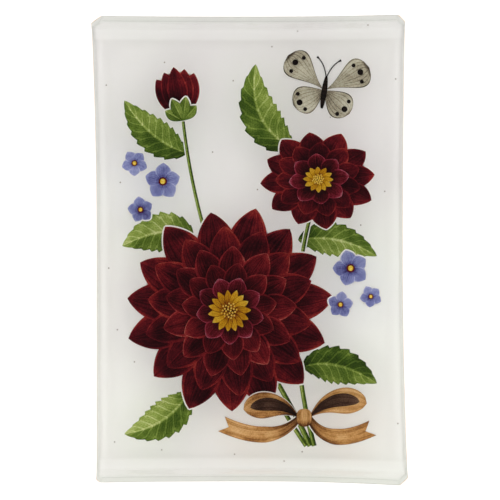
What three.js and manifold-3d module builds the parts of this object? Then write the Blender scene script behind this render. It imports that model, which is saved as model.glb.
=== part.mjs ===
// A rectangular glass tray of about six by nine inches, with a cut-paper flower picture under the glass.
// Millimetres, +Z up, +Y towards the top of the picture. The origin is on the underside, at the centre.
//
// From the table up the tray is a thin sealed backing, a sheet of off-white ground paper, eight levels of
// cut paper that make the picture, and one sheet of clear glass. The glass was slumped in a mould: its two
// ends turn up, its long sides lift a little, and its four edges are drawn slightly inwards.
import * as THREE from "three";
import { mergeVertices } from "three/addons/utils/BufferGeometryUtils.js";
import Module from "manifold-3d";

const wasm = await Module();
wasm.setup();

// Thicknesses, from the table up
const BACKING = 0.3;
const GROUND_PAPER = 0.2;
const CUT_PAPER = 0.08;
const GLASS = 3.4;
const GLUE = 0.05;
const THIN_GLUE = 0.02;
const LEVELS = 8;
const LEVEL_PITCH = CUT_PAPER + THIN_GLUE;
const PICTURE_Z = BACKING + GLUE + GROUND_PAPER + GLUE;
const GLASS_Z = PICTURE_Z + LEVELS * LEVEL_PITCH;

// The plan of the glass: half sizes at mid side, and how far each corner stands out past them. The corners
// are uneven, so the middle of the sheet lies a little off the middle of the tray's box.
const HALF_WIDTH = 75.45;
const HALF_LENGTH = 114.15;
const MIDDLE = [0.05, 0.52];
const SIDE_FLARE = { topLeft: 2.65, topRight: 1.1, bottomLeft: -0.05, bottomRight: 2.55 };
const END_FLARE = { topLeft: 0.35, topRight: 0.95, bottomLeft: 0.6, bottomRight: 2 };

// What was nipped off each corner: across the tray, and along the sheet
const NIP_ACROSS = { topLeft: 5.5, topRight: 3.9, bottomLeft: 2.2, bottomRight: 4.6 };
const NIP_ALONG = { topLeft: 5.8, topRight: 5.6, bottomLeft: 2.8, bottomRight: 6 };

// The turned-up ends, and the slight lift of the long sides
const END_BEND_RADIUS = 13;
const END_ANGLE = THREE.MathUtils.degToRad(58);
const END_LIP = 4.5;
const END_PLAN = END_BEND_RADIUS * Math.sin(END_ANGLE) + END_LIP * Math.cos(END_ANGLE);
const FLAT_HALF = HALF_LENGTH - END_PLAN;
const BEND_END = FLAT_HALF + END_BEND_RADIUS * END_ANGLE;
const ARC_HALF = BEND_END + END_LIP;
const SIDE_LIFT = 0.7;
const SIDE_LIFT_FROM = 0.868;

// The polished edge of the glass, rounded more above than below
const UPPER_ROUND = 1.2;
const LOWER_ROUND = 0.25;

// How far the papers stop short of that edge. At the turned-up ends the lower sheet is cut shorter, so that
// neither stands out past the glass as seen from above.
const SIDE_MARGIN = 0.1;
const END_MARGIN = { ground: 0.7, backing: 1.2 };

// Past the picture the papers rise past its levels, until they lie straight on the glass
const PICTURE_HALF_LENGTH = 98.5;
const ON_GLASS_FROM = { arc: 107.5, across: 0.987 };

// How many strips the sheet is divided into over each part of a half
const NET_STEPS = { middle: 2, side: 3, flat: 4, bend: 7, lip: 2 };

// The white margin that the scissors left round a printed motif
const CUT_MARGIN = 0.5;

// How unevenly the petals of one ring are turned and reach out
const SWAY = { turn: 0.04, reach: 0.03 };

// Where a shape is broadest, past its middle above 1 and before it below 1, and how blunt, from 1 down to 0
const PETAL = { broadest: 1.2, blunt: 0.8 };
const LEAF = { broadest: 0.8, blunt: 0.85 };
const LOOP = { broadest: 1.7, blunt: 0.6 };
const WING_BLUNT = 0.6;
const BODY_BLUNT = 0.6;

const GLASS_OPACITY = 0.3;
const COLOURS = {
  glass: [0xdfe8e2, 0.05],
  paper: [0xe9e8e1, 0.8],
  backing: [0xd9cfb4, 0.6],
  maroon: [0x4a0f17, 0.7],
  red: [0x6b1a20, 0.7],
  crimson: [0x7f2a2a, 0.7],
  yellow: [0xd9b020, 0.7],
  green: [0x7f8c42, 0.7],
  stem: [0x6e7a3c, 0.7],
  lavender: [0xa3a6c8, 0.7],
  stone: [0xcbc6b0, 0.7],
  tan: [0xd7a566, 0.7],
  brown: [0x4a3327, 0.7],
};

// The picture, in millimetres from the tray's centre

const LARGE_BLOOM = { centre: [-10, -30], tilt: 1 };
const LARGE_RINGS = [
  { count: 15, from: 14, to: 51, width: 19, turn: 0.1 },
  { count: 14, from: 11, to: 42, width: 16.5, turn: 0.31 },
  { count: 13, from: 8, to: 33, width: 14, turn: 0.05 },
  { count: 11, from: 5.6, to: 24.5, width: 11.8, turn: 0.2 },
  { count: 9, from: 4, to: 17, width: 9.6, turn: 0.5 },
];
const LARGE_HEART = { count: 15, from: 0, to: 10.5, width: 4, turn: 0 };

const SIDE_BLOOM = { centre: [34, 35], tilt: 0.85 };
const SIDE_RINGS = [
  { count: 12, from: 8, to: 28.5, width: 13.2, turn: 0.12 },
  { count: 11, from: 6, to: 22, width: 11, turn: 0.35 },
  { count: 8, from: 3, to: 15, width: 9.4, turn: 0.1 },
];
const SIDE_HEART = { count: 12, from: 0, to: 7.5, width: 3.4, turn: 0 };

const BUD = { foot: [-33, 64], turn: THREE.MathUtils.degToRad(100), footRadius: 1.2 };
const BUD_PETALS = { leans: [-0.4, 0.4, -0.2, 0.2, 0], length: 27, width: 10 };
const BUD_SEPALS = { leans: [-0.9, -0.3, 0.3, 0.9], length: 13, width: 5.5 };
const SHORTER_PER_LEAN = 0.25;

const STEMS = [
  { from: [30, -97], over: [18, -70], to: [-6, -34], width: 2.8 },
  { from: [32, -97], over: [14, -30], to: [34, 30], width: 2.4 },
  { from: [28, -97], over: [-24, -20], to: [-33, 65], width: 2.2 },
];
const STEM_TAPER = 0.3;

const LEAVES = [
  { from: [-28, 6], over: [-40, 14], to: [-63, 2], width: 20 },
  { from: [26, -58], over: [42, -52], to: [63, -66], width: 19 },
  { from: [-30, -70], over: [-40, -88], to: [-62, -91], width: 19 },
  { from: [24, 5], over: [44, 9], to: [63, -3], width: 17 },
  { from: [22, 50], over: [-2, 62], to: [3, 92], width: 20 },
  { from: [-31, 48], over: [-50, 54], to: [-62, 74], width: 18 },
];
const LEAF_TEETH = 9;
const TOOTH = { foot: 0.87, rise: 0.182 };

const BLUE_FLOWERS = [
  { centre: [-43, 34], radius: 9, turn: 0.3, level: 4 },
  { centre: [-57, 43], radius: 6.5, turn: 0.9, level: 3 },
  { centre: [-54, 20], radius: 6.5, turn: 0.5, level: 3 },
  { centre: [50, -9], radius: 9, turn: 0.6, level: 4 },
  { centre: [45, -27], radius: 6.5, turn: 0.2, level: 3 },
  { centre: [60, -23], radius: 5.5, turn: 0.8, level: 3 },
];
const BLUE_PETAL = { count: 5, width: 0.85 };

const KNOT = { centre: [27, -83], radius: 4.5, reach: 2.5 };
const RIBBON = { width: 8, atKnot: 0.35, fullFrom: 0.45 };
const RIBBON_TAILS = [
  { over: [12, -98], to: [-14, -86] },
  { over: [38, -99], to: [61, -88] },
];
const TAIL_NOTCH = { deep: 4, half: 3 };
const RIBBON_LOOPS = [
  { over: [14, -73], to: [-3, -79], width: 13 },
  { over: [40, -71], to: [58, -76], width: 13 },
];
const LOOP_INSIDE = 0.5;
const INSIDE_SHORTER = 0.2;

const BUTTERFLY = { centre: [37, 79], turn: -0.15, rootRadius: 2 };
const WINGS = [
  { reach: 25, width: 15, turn: 0.62, broadest: 2.6 },
  { reach: 17, width: 14, turn: -0.6, broadest: 1.6 },
];
const BUTTERFLY_BODY = { ahead: 7, behind: 9, width: 2.8 };

// The curved sheet

// The value for the corner that a point belongs to.
function atCorner(values, side, end) {
  return values[(end > 0 ? "top" : "bottom") + (side > 0 ? "Right" : "Left")];
}

// How far along and how high the sheet's underside is, at a distance along the sheet from its middle.
function endProfile(distance) {
  const angle = Math.max(0, Math.min(distance, BEND_END) - FLAT_HALF) / END_BEND_RADIUS;
  const lip = Math.max(0, distance - BEND_END);
  const flat = Math.min(distance, FLAT_HALF);
  return {
    along: flat + END_BEND_RADIUS * Math.sin(angle) + lip * Math.cos(END_ANGLE),
    up: END_BEND_RADIUS * (1 - Math.cos(angle)) + lip * Math.sin(END_ANGLE),
  };
}

// A point of the glass's underside. across runs from -1 to 1, and arc along the bent sheet from its middle.
function undersidePoint(across, arc) {
  const side = Math.sign(across) || 1;
  const end = Math.sign(arc) || 1;
  const { along, up } = endProfile(Math.abs(arc));
  const flare = atCorner(END_FLARE, side, end) * across ** 2 * Math.min(1, Math.abs(arc) / FLAT_HALF);
  const fromEnd = (ARC_HALF - Math.abs(arc)) / atCorner(NIP_ALONG, side, end);
  const nipped = atCorner(NIP_ACROSS, side, end) * Math.max(0, 1 - fromEnd);
  const half = HALF_WIDTH + atCorner(SIDE_FLARE, side, end) * (along / HALF_LENGTH) ** 2 - nipped;
  const lifted = Math.max(0, (Math.abs(across) - SIDE_LIFT_FROM) / (1 - SIDE_LIFT_FROM));
  const x = MIDDLE[0] + across * half;
  const y = MIDDLE[1] + end * (along + flare);
  return new THREE.Vector3(x, y, GLASS_Z + up + SIDE_LIFT * lifted ** 2);
}

// The same point moved square to the sheet by height: up into the glass, or down through the papers.
function sheetPoint(across, arc, height) {
  const step = 1e-3;
  const within = (value, limit) => THREE.MathUtils.clamp(value, -limit, limit);
  const right = undersidePoint(within(across + step, 1), arc);
  const left = undersidePoint(within(across - step, 1), arc);
  const ahead = undersidePoint(across, within(arc + step, ARC_HALF));
  const behind = undersidePoint(across, within(arc - step, ARC_HALF));
  const normal = right.sub(left).cross(ahead.sub(behind)).normalize();
  return undersidePoint(across, arc).addScaledVector(normal, height);
}

// The room that the picture's levels take under the glass: none well past the picture.
function pictureDepth(across, arc) {
  const pastEnd = THREE.MathUtils.smoothstep(Math.abs(arc), PICTURE_HALF_LENGTH, ON_GLASS_FROM.arc);
  const pastSide = THREE.MathUtils.smoothstep(Math.abs(across), SIDE_LIFT_FROM, ON_GLASS_FROM.across);
  return LEVELS * LEVEL_PITCH * (1 - Math.max(pastEnd, pastSide));
}

// The sheet's net: wide over the flat part, close together in the bends and the lifted sides.
function netLines() {
  const steps = (from, to, count) =>
    Array.from({ length: count }, (_, i) => THREE.MathUtils.lerp(from, to, (i + 1) / count));
  const middle = steps(0, SIDE_LIFT_FROM, NET_STEPS.middle);
  const side = steps(SIDE_LIFT_FROM, ON_GLASS_FROM.across, NET_STEPS.side);
  const across = [0, ...middle, ...side, 1];
  const flat = [...steps(0, PICTURE_HALF_LENGTH, NET_STEPS.flat), FLAT_HALF];
  const bend = steps(FLAT_HALF, BEND_END, NET_STEPS.bend);
  const arcs = [0, ...flat, ...bend, ...steps(BEND_END, ARC_HALF, NET_STEPS.lip)];
  const mirrored = (lines) => [...lines.slice(1).reverse().map((value) => -value), ...lines];
  return { across: mirrored(across), arcs: mirrored(arcs) };
}

// One net over the sheet, with its rim drawn in at the sides and at the ends. heightAt gives its height
// square to the sheet.
function netAt(heightAt, inset, endInset = inset) {
  const { across, arcs } = netLines();
  const drawnIn = (value, limit, by) => Math.sign(value) * Math.min(Math.abs(value), limit - by);
  return arcs.map((line) => {
    const arc = drawnIn(line, ARC_HALF, endInset);
    return across.map((column) => {
      const u = drawnIn(column, 1, inset / HALF_WIDTH);
      return sheetPoint(u, arc, heightAt(u, arc));
    });
  });
}

// The places of a net's rim points, anticlockwise from above.
function rimOf(rows) {
  const lastRow = rows.length - 1;
  const lastColumn = rows[0].length - 1;
  const rim = [];
  for (let i = 0; i < lastColumn; i++) rim.push([0, i]);
  for (let j = 0; j < lastRow; j++) rim.push([j, lastColumn]);
  for (let i = lastColumn; i > 0; i--) rim.push([lastRow, i]);
  for (let j = lastRow; j > 0; j--) rim.push([j, 0]);
  return rim;
}

// A closed sheet from nets listed upwards. Of the nets between the two outer ones, only the rims are used.
function sheetGeometry(nets) {
  const positions = [];
  const index = [];
  const place = (point) => {
    positions.push(point.x, point.y, point.z);
    return positions.length / 3 - 1;
  };
  const low = nets[0].map((row) => row.map(place));
  const high = nets.at(-1).map((row) => row.map(place));
  for (let j = 0; j + 1 < low.length; j++) {
    for (let i = 0; i + 1 < low[0].length; i++) {
      const corners = (face) => [face[j][i], face[j][i + 1], face[j + 1][i + 1], face[j + 1][i]];
      const [a, b, c, d] = corners(low);
      const [e, f, g, h] = corners(high);
      index.push(a, c, b, a, d, c, e, f, g, e, g, h);
    }
  }
  const rim = rimOf(low);
  const loops = [
    rim.map(([j, i]) => low[j][i]),
    ...nets.slice(1, -1).map((rows) => rim.map(([j, i]) => place(rows[j][i]))),
    rim.map(([j, i]) => high[j][i]),
  ];
  for (let n = 0; n + 1 < loops.length; n++) {
    for (let k = 0; k < rim.length; k++) {
      const next = (k + 1) % rim.length;
      const [a, b, c, d] = [loops[n][k], loops[n][next], loops[n + 1][next], loops[n + 1][k]];
      index.push(a, b, c, a, c, d);
    }
  }
  const geometry = new THREE.BufferGeometry();
  geometry.setAttribute("position", new THREE.Float32BufferAttribute(positions, 3));
  geometry.setIndex(index);
  return geometry;
}

function glassGeometry() {
  const level = (height) => () => height;
  const halfRound = UPPER_ROUND * (1 - Math.SQRT1_2);
  return sheetGeometry([
    netAt(level(0), LOWER_ROUND),
    netAt(level(LOWER_ROUND), 0),
    netAt(level(GLASS - UPPER_ROUND), 0),
    netAt(level(GLASS - halfRound), halfRound),
    netAt(level(GLASS), UPPER_ROUND),
  ]);
}

// A sheet under the picture: its top lies top below the picture's levels.
function paperGeometry(top, thickness, endMargin) {
  const face = (depth) => netAt((u, arc) => -pictureDepth(u, arc) - depth, SIDE_MARGIN, endMargin);
  return sheetGeometry([face(top + thickness), face(top)]);
}

// Cut paper

function cutOut(outline) {
  const points = outline.map(([x, y]) => new THREE.Vector2(x, y));
  return new THREE.ExtrudeGeometry(new THREE.Shape(points), { depth: CUT_PAPER, bevelEnabled: false });
}

function toSolid(geometry) {
  const bare = geometry.clone();
  bare.deleteAttribute("normal");
  bare.deleteAttribute("uv");
  const merged = mergeVertices(bare);
  return new wasm.Manifold(
    new wasm.Mesh({
      numProp: 3,
      vertProperties: new Float32Array(merged.attributes.position.array),
      triVerts: new Uint32Array(merged.index.array),
    }),
  );
}

function toGeometry(solid) {
  const mesh = solid.getMesh();
  const geometry = new THREE.BufferGeometry();
  geometry.setAttribute("position", new THREE.BufferAttribute(new Float32Array(mesh.vertProperties), 3));
  geometry.setIndex(new THREE.BufferAttribute(new Uint32Array(mesh.triVerts), 1));
  return geometry;
}

// Overlapping cut-outs as one piece of paper.
function joined(geometries) {
  return toGeometry(geometries.map(toSolid).reduce((all, one) => all.add(one)));
}

function bow(from, over, to) {
  return new THREE.QuadraticBezierCurve(...[from, over, to].map(([x, y]) => new THREE.Vector2(x, y)));
}

function straight(from, to) {
  return new THREE.LineCurve(...[from, to].map(([x, y]) => new THREE.Vector2(x, y)));
}

// A cut-out that reaches halfWidth(t) to either side of a spine, for t from 0 at its foot to 1 at its tip.
function alongSpine(spine, halfWidth, steps) {
  const right = [];
  const left = [];
  for (let i = 0; i <= steps; i++) {
    const t = i / steps;
    const { x, y } = spine.getPoint(t);
    const along = spine.getTangent(t);
    const reach = halfWidth(t);
    right.push([x + along.y * reach, y - along.x * reach]);
    left.unshift([x - along.y * reach, y + along.x * reach]);
  }
  const outline = [...right, ...left];
  const apart = ([x, y], [u, v]) => Math.hypot(x - u, y - v) > 1e-3;
  return cutOut(outline.filter((point, i) => apart(point, outline[(i + 1) % outline.length])));
}

// The share of its full width that a shape has at t, from 0 at its foot through 1 back to 0 at its tip.
function swell(t, { broadest, blunt }) {
  return Math.sin(Math.PI * t ** broadest) ** blunt;
}

// A petal is narrow at its foot, widest past its middle and blunt at its tip.
function petalHalfWidth(width, t) {
  return (width / 2) * swell(t, PETAL);
}

// How far out a petal's edge lies in a direction that is turned by off from its own. Past its sides, nowhere.
function petalEdge({ from, tip, width, margin }, off) {
  const trials = 300;
  for (let i = 0; i <= trials; i++) {
    const t = 1 - i / trials;
    const along = THREE.MathUtils.lerp(from, tip, t);
    const aside = along * Math.tan(Math.abs(off));
    if (petalHalfWidth(width, t) + margin >= aside) return (along + margin) / Math.cos(off);
  }
  return 0;
}

// The outline of a whole ring of petals, cut as one piece. A tilted bloom is squashed in height.
function petalRing({ centre, tilt = 1, count, from, to, width, turn, margin = 0 }, pointsPerPetal = 9) {
  const petals = Array.from({ length: count }, (_, i) => ({
    angle: turn + (i * 2 * Math.PI) / count + SWAY.turn * Math.sin(5 * i + count),
    shape: { from, tip: to * (1 + SWAY.reach * Math.sin(3.7 * i + count)), width, margin },
  }));
  const wrapped = (angle) => Math.atan2(Math.sin(angle), Math.cos(angle));
  const outline = Array.from({ length: count * pointsPerPetal }, (_, k) => {
    const angle = turn + (k * 2 * Math.PI) / (count * pointsPerPetal);
    const ahead = petals.filter((petal) => Math.cos(angle - petal.angle) > 0.5);
    const reach = Math.max(...ahead.map((petal) => petalEdge(petal.shape, wrapped(angle - petal.angle))));
    return [centre[0] + reach * Math.cos(angle), centre[1] + tilt * reach * Math.sin(angle)];
  });
  return cutOut(outline);
}

function disc([x, y], radius, sides) {
  const outline = Array.from({ length: sides }, (_, i) => {
    const angle = (i * 2 * Math.PI) / sides;
    return [x + radius * Math.cos(angle), y + radius * Math.sin(angle)];
  });
  return cutOut(outline);
}

// Petals or sepals that spread from one foot, as on a bud.
function fan({ foot, turn, footRadius }, { leans, length, width }) {
  const blades = leans.map((lean) => {
    const reach = length * (1 - SHORTER_PER_LEAN * Math.abs(lean)) + CUT_MARGIN;
    const tip = [foot[0] + reach * Math.cos(turn + lean), foot[1] + reach * Math.sin(turn + lean)];
    return alongSpine(straight(foot, tip), (t) => petalHalfWidth(width + 2 * CUT_MARGIN, t), 8);
  });
  return joined([...blades, disc(foot, footRadius, 8)]);
}

// A leaf with a saw-toothed edge: each tooth rises slowly and drops back at once.
function leaf({ from, over, to, width }) {
  const halfWidth = (t) => {
    const tooth = (t * LEAF_TEETH) % 1;
    const margin = CUT_MARGIN * Math.min(1, 4 * t, 4 * (1 - t));
    return (width / 2) * swell(t, LEAF) * (TOOTH.foot + TOOTH.rise * tooth) + margin;
  };
  return alongSpine(bow(from, over, to), halfWidth, 3 * LEAF_TEETH);
}

function stem({ from, over, to, width }) {
  return alongSpine(bow(from, over, to), (t) => (width / 2) * (1 - STEM_TAPER * t) + CUT_MARGIN, 12);
}

function blueFlower({ centre, radius, turn }) {
  const { count, width } = BLUE_PETAL;
  return petalRing({ centre, count, from: 0, to: radius, width: radius * width, turn, margin: CUT_MARGIN });
}

// Each tail and loop of the ribbon starts on its own side of the knot, under it.
function besideKnot([x]) {
  return [KNOT.centre[0] + Math.sign(x - KNOT.centre[0]) * KNOT.reach, KNOT.centre[1]];
}

// A ribbon's tail widens from the knot and ends in a notch.
function ribbonTail({ over, to }) {
  const share = (t) => THREE.MathUtils.lerp(RIBBON.atKnot, 1, Math.min(1, t / RIBBON.fullFrom));
  const halfWidth = (t) => (RIBBON.width / 2) * share(t) + CUT_MARGIN;
  const tail = alongSpine(bow(besideKnot(to), over, to), halfWidth, 12);
  const outwards = Math.sign(to[0] - KNOT.centre[0]);
  const notch = cutOut([
    [to[0] + outwards, to[1] - outwards * TAIL_NOTCH.half],
    [to[0] + outwards, to[1] + outwards * TAIL_NOTCH.half],
    [to[0] - outwards * TAIL_NOTCH.deep, to[1]],
  ]);
  notch.scale(1, 1, 3);
  notch.translate(0, 0, -CUT_PAPER);
  return toGeometry(toSolid(tail).subtract(toSolid(notch)));
}

// A loop of the ribbon, or at a smaller share the darker inside that shows within it.
function ribbonLoop({ over, to, width }, share, margin) {
  const foot = besideKnot(to);
  const spine = bow(foot, over, to);
  const tip = spine.getPoint(1 - INSIDE_SHORTER * (1 - share)).toArray();
  const halfWidth = (t) => ((share * width) / 2 + margin) * swell(t, LOOP);
  return alongSpine(bow(foot, over, tip), halfWidth, 12);
}

function butterflyWings() {
  const { centre, turn, rootRadius } = BUTTERFLY;
  const wings = WINGS.flatMap(({ reach, width, turn: spread, broadest }) =>
    [turn + spread, turn + Math.PI - spread].map((angle) => {
      const tip = [centre[0] + reach * Math.cos(angle), centre[1] + reach * Math.sin(angle)];
      const halfWidth = (t) => (width / 2 + CUT_MARGIN) * swell(t, { broadest, blunt: WING_BLUNT });
      return alongSpine(straight(centre, tip), halfWidth, 10);
    }),
  );
  return joined([...wings, disc(centre, rootRadius, 12)]);
}

function butterflyBody() {
  const { centre, turn } = BUTTERFLY;
  const { ahead, behind, width } = BUTTERFLY_BODY;
  const at = (distance) => [centre[0] - distance * Math.sin(turn), centre[1] + distance * Math.cos(turn)];
  const bluntEnds = (t) => THREE.MathUtils.lerp(0.06, 0.94, t);
  const halfWidth = (t) => (width / 2) * swell(bluntEnds(t), { broadest: 1, blunt: BODY_BLUNT });
  return alongSpine(straight(at(-behind), at(ahead)), halfWidth, 10);
}

// The tray, piece by piece

// The level in the picture that each motif lies on, counted from the ground paper up
const LEVEL_OF = {
  leaf: 0,
  stem: 1,
  backPetals: 2,
  sepals: 3,
  tail: 3,
  loop: 4,
  loopInside: 5,
  knot: 6,
  wings: 3,
  body: 4,
};

const tray = new THREE.Group();

function addPiece(name, geometry, colour, level) {
  const [hex, roughness] = COLOURS[colour];
  const material = new THREE.MeshStandardMaterial({ color: hex, roughness, metalness: 0 });
  material.transparent = colour === "glass";
  material.opacity = colour === "glass" ? GLASS_OPACITY : 1;
  const mesh = new THREE.Mesh(geometry, material);
  mesh.name = name;
  mesh.position.z = level === undefined ? 0 : PICTURE_Z + level * LEVEL_PITCH;
  tray.add(mesh);
}

addPiece("glass_tray", glassGeometry(), "glass");
addPiece("ground_paper", paperGeometry(GLUE, GROUND_PAPER, END_MARGIN.ground), "paper");
addPiece("backing", paperGeometry(2 * GLUE + GROUND_PAPER, BACKING, END_MARGIN.backing), "backing");

LEAVES.forEach((shape, i) => addPiece(`leaf_${i + 1}`, leaf(shape), "green", LEVEL_OF.leaf));
addPiece("stems", joined(STEMS.map(stem)), "stem", LEVEL_OF.stem);

function addBloom(name, bloom, rings, star) {
  rings.forEach((ring, i) => {
    const margin = i === 0 ? CUT_MARGIN : 0;
    const colour = ["maroon", "red", "crimson"][Math.min(i, 2)];
    const petals = petalRing({ ...bloom, ...ring, margin });
    addPiece(`${name}_petals_${i + 1}`, petals, colour, LEVEL_OF.backPetals + i);
  });
  const heart = petalRing({ ...bloom, ...star }, 6);
  addPiece(`${name}_heart`, heart, "yellow", LEVEL_OF.backPetals + rings.length);
}

addBloom("large_bloom", LARGE_BLOOM, LARGE_RINGS, LARGE_HEART);
addBloom("side_bloom", SIDE_BLOOM, SIDE_RINGS, SIDE_HEART);

addPiece("bud_petals", fan(BUD, BUD_PETALS), "maroon", LEVEL_OF.backPetals);
addPiece("bud_sepals", fan(BUD, BUD_SEPALS), "green", LEVEL_OF.sepals);

BLUE_FLOWERS.forEach((shape, i) => {
  addPiece(`blue_flower_${i + 1}`, blueFlower(shape), "lavender", shape.level);
});

RIBBON_TAILS.forEach((shape, i) => {
  addPiece(`ribbon_tail_${i + 1}`, ribbonTail(shape), "tan", LEVEL_OF.tail);
});
RIBBON_LOOPS.forEach((shape, i) => {
  addPiece(`ribbon_loop_${i + 1}`, ribbonLoop(shape, 1, CUT_MARGIN), "tan", LEVEL_OF.loop);
  addPiece(`ribbon_loop_inside_${i + 1}`, ribbonLoop(shape, LOOP_INSIDE, 0), "brown", LEVEL_OF.loopInside);
});
addPiece("ribbon_knot", disc(KNOT.centre, KNOT.radius, 16), "tan", LEVEL_OF.knot);

addPiece("butterfly_wings", butterflyWings(), "stone", LEVEL_OF.wings);
addPiece("butterfly_body", butterflyBody(), "brown", LEVEL_OF.body);

export default tray;
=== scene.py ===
# %% [markdown]
# A glass decoupage tray
#
# The real tray is one sheet of clear glass of about six by nine inches. It was slumped: laid over a mould
# and heated until it sagged into the mould's shape, with its two short ends turned up. Prints were cut out
# with scissors and glued face up against its underside, with off-white paper behind them and a sealed
# backing behind that. Seen from above the picture looks as if it were part of the glass.
#
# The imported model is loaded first. It fixes the size and place of every piece, and nothing here moves it.

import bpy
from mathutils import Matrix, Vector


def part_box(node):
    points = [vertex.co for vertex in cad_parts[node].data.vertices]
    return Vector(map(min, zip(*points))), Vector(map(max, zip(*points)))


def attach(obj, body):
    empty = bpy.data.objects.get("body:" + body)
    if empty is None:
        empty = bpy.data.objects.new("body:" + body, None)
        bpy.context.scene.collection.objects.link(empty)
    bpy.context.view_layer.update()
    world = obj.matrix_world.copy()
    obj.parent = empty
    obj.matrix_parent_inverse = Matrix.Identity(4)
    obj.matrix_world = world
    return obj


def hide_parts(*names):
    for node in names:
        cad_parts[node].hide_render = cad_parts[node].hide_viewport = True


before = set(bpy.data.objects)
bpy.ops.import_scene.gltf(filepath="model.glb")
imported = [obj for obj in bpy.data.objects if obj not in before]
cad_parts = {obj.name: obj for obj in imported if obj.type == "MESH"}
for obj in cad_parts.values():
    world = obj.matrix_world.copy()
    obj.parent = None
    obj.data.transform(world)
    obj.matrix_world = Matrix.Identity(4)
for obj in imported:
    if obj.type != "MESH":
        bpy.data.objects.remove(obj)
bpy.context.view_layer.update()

# %% [markdown]
# Sizes below are in millimetres, and MM turns them to metres where a mesh is made. The plan of the glass
# repeats the model's own driving sizes.

# %% Sizes of the tray, and how high things lie in it
from math import cos, pi, radians, sin, sqrt, tau
from random import Random

import bmesh
import bpy
from mathutils import Vector

MM = 0.001
GLASS = 3.4
GLUE = 0.05
GROUND_PAPER = 0.2
BACKING = 0.3
PICTURE_DEPTH = 0.8
GLASS_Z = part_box("glass_tray")[0].z / MM
print("The glass starts", round(GLASS_Z, 2), "mm above the table")

# %% [markdown]
# Modelling by hand in Blender is choosing an object, adding a modifier or picking a few vertices, and doing
# something to them. The four helpers below do just that in code.

# %% Small helpers for modelling by hand
def choose(*pieces):
    """Makes these the only selected objects, and the first of them the active one."""
    bpy.ops.object.select_all(action="DESELECT")
    for piece in pieces:
        piece.select_set(True)
    bpy.context.view_layer.objects.active = pieces[0]


def modify(piece, kind, **settings):
    """Adds a modifier with its settings and applies it."""
    choose(piece)
    modifier = piece.modifiers.new(kind.title(), kind)
    for name, value in settings.items():
        setattr(modifier, name, value)
    bpy.ops.object.modifier_apply(modifier=modifier.name)


def settle(piece):
    """Puts a piece's place, turn and scale into its mesh."""
    choose(piece)
    bpy.ops.object.transform_apply(location=True, rotation=True, scale=True)


def pick(mesh, numbers):
    """Selects only the vertices with these numbers, in edit mode."""
    bpy.ops.mesh.select_all(action="DESELECT")
    for number in numbers:
        mesh.verts[number].select_set(True)


# %% [markdown]
# The camera hangs straight over the tray. A long lens from more than a metre away keeps the upturned ends
# from spreading outwards, as a product photographer would do it on a copy stand.

# %% Camera
PIXELS = 500
MIDDLE_PIXEL = (249.6, 250.05)
VIEW_WIDTH = 245.3
LENS_HEIGHT = 1200
RIM_HEIGHT = 13
SENSOR = 36
FARTHEST = 10_000
pixel = VIEW_WIDTH / PIXELS
place = [
    (PIXELS / 2 - MIDDLE_PIXEL[0]) * pixel,
    (MIDDLE_PIXEL[1] - PIXELS / 2) * pixel,
    LENS_HEIGHT + RIM_HEIGHT,
]
bpy.ops.object.camera_add(location=[value * MM for value in place], rotation=(0, 0, 0))
camera = bpy.context.object
camera.data.sensor_width = SENSOR
camera.data.lens = SENSOR * LENS_HEIGHT / VIEW_WIDTH
camera.data.clip_end = FARTHEST * MM
bpy.context.scene.camera = camera
print("Lens in millimetres:", round(camera.data.lens, 1))

# %% [markdown]
# Materials are built from nodes. One function adds a node with its settings and whatever goes into it: a
# number, a colour, or another node, whose first output is then linked. The shader that a material starts
# with is fed in the same way.

# %% Nodes and materials
def to_linear(colour):
    """An sRGB colour such as 8E2A28 as the linear red, green, blue and alpha that Blender mixes."""
    parts = [int(colour[start:start + 2], 16) / 255 for start in (0, 2, 4)]
    return [part / 12.92 if part <= 0.04045 else ((part + 0.055) / 1.055) ** 2.4 for part in parts] + [1]


def feed(tree, node, inputs):
    """Sets a node's inputs, each to a number or a colour of its own or by a link from another node."""
    for name, value in inputs.items():
        socket = node.inputs[name] if isinstance(name, int) else next(
            socket for socket in node.inputs if socket.enabled and socket.name == name)
        if isinstance(value, bpy.types.Node):
            value = next(output for output in value.outputs if output.enabled)
        if isinstance(value, bpy.types.NodeSocket):
            tree.links.new(value, socket)
        else:
            socket.default_value = value


def add(tree, kind, inputs=None, stops=(), **settings):
    """Adds a shader node and returns it. stops are the places and sRGB colours of a ramp."""
    node = tree.nodes.new("ShaderNode" + kind)
    for name, value in settings.items():
        setattr(node, name, value)
    feed(tree, node, inputs or {})
    for number, (where, colour) in enumerate(stops):
        elements = node.color_ramp.elements
        element = elements[number] if number < 2 else elements.new(where)
        element.position = where
        element.color = to_linear(colour)
    return node


def new_material(name):
    """A material with only its Principled shader, its node tree, and that shader."""
    material = bpy.data.materials.new(name)
    material.use_nodes = True
    return material, material.node_tree, material.node_tree.nodes["Principled BSDF"]


def noise(tree, size, detail):
    """Soft noise over a piece, its blotches about size millimetres wide."""
    where = add(tree, "TexCoord").outputs["Object"]
    return add(tree, "TexNoise", {"Vector": where, "Scale": 1 / (size * MM), "Detail": detail})


def between(tree, value, low, high, start=0.0, end=1.0):
    """Eases from start to end as value goes from low to high."""
    return add(tree, "MapRange", {
        "Value": value, "From Min": low, "From Max": high, "To Min": start, "To Max": end},
        interpolation_type="SMOOTHSTEP")


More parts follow.
